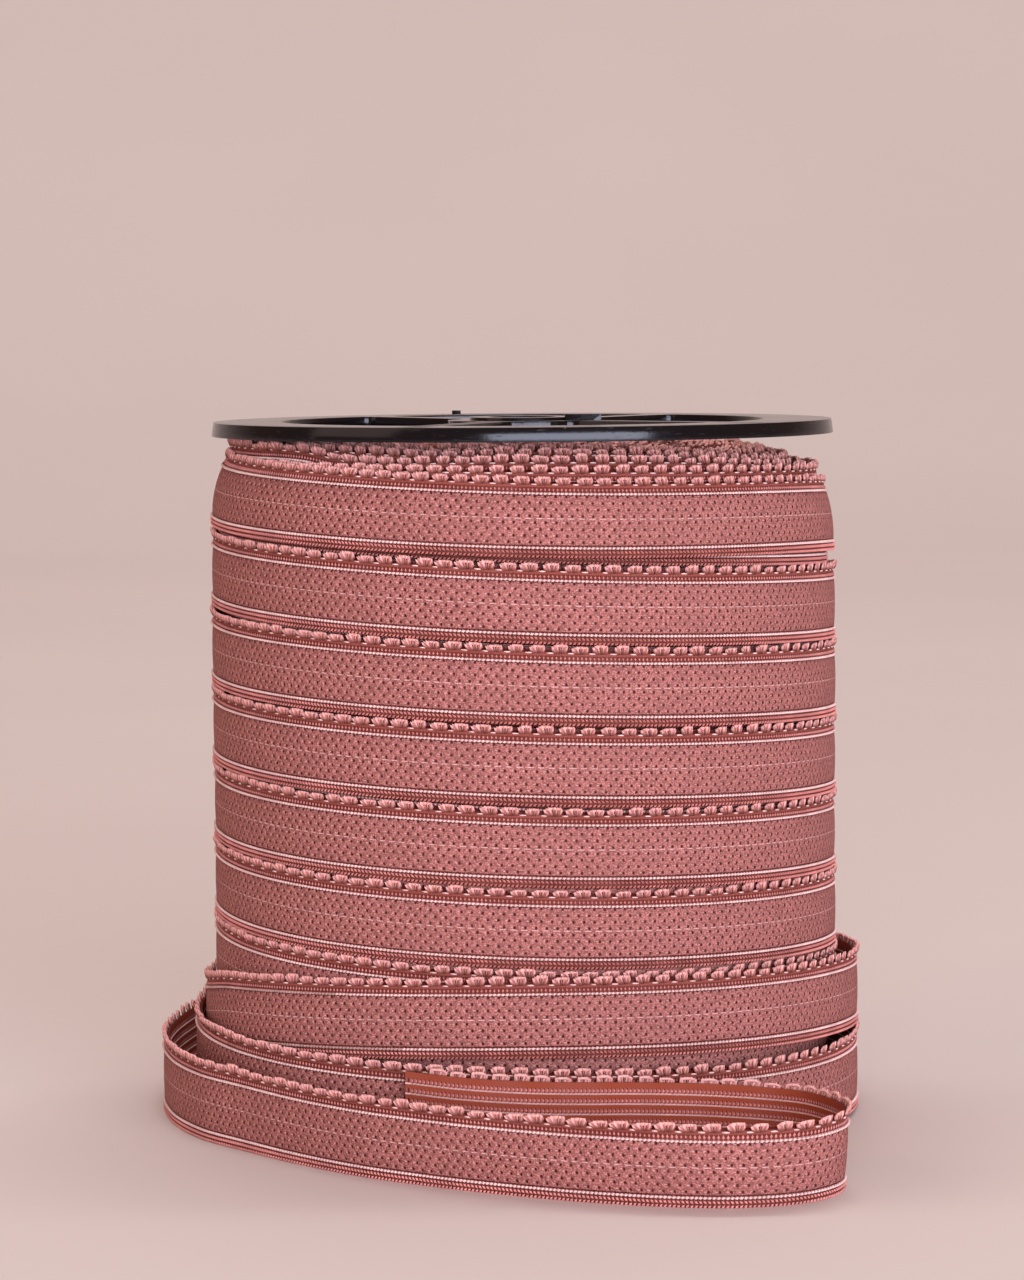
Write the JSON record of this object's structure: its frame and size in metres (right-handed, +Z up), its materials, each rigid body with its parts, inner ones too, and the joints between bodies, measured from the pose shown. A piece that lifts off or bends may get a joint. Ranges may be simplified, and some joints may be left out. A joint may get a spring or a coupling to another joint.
{
  "type": "roll of elastic on a plastic spool",
  "caption": "Spool of picot-edged elastic tape for sewing, wound in rows between two round plastic flanges, with its loose end laid in a loop round the foot.",
  "frame": {"origin": "centre of the whole object's footprint box, the loose end included, on the surface that it stands on", "axes": "+Z up along the spool's axis; -Y the front, where the loose end's loop lies; +X the viewer's right"},
  "size_m": [0.1136, 0.1408, 0.1128],
  "materials": {
    "spool": "black moulded plastic, satin to glossy, finely scuffed on the rim",
    "elastic": "dusty rose woven elastic, pebbled field, fluffy picots, rust-coloured base threads"
  },
  "bodies": {
    "root": {"core_tube": "spool", "flange_lower": "spool", "flange_upper": "spool", "loose_elastic": "elastic", "wound_elastic": "elastic"}
  },
  "joints": []
}
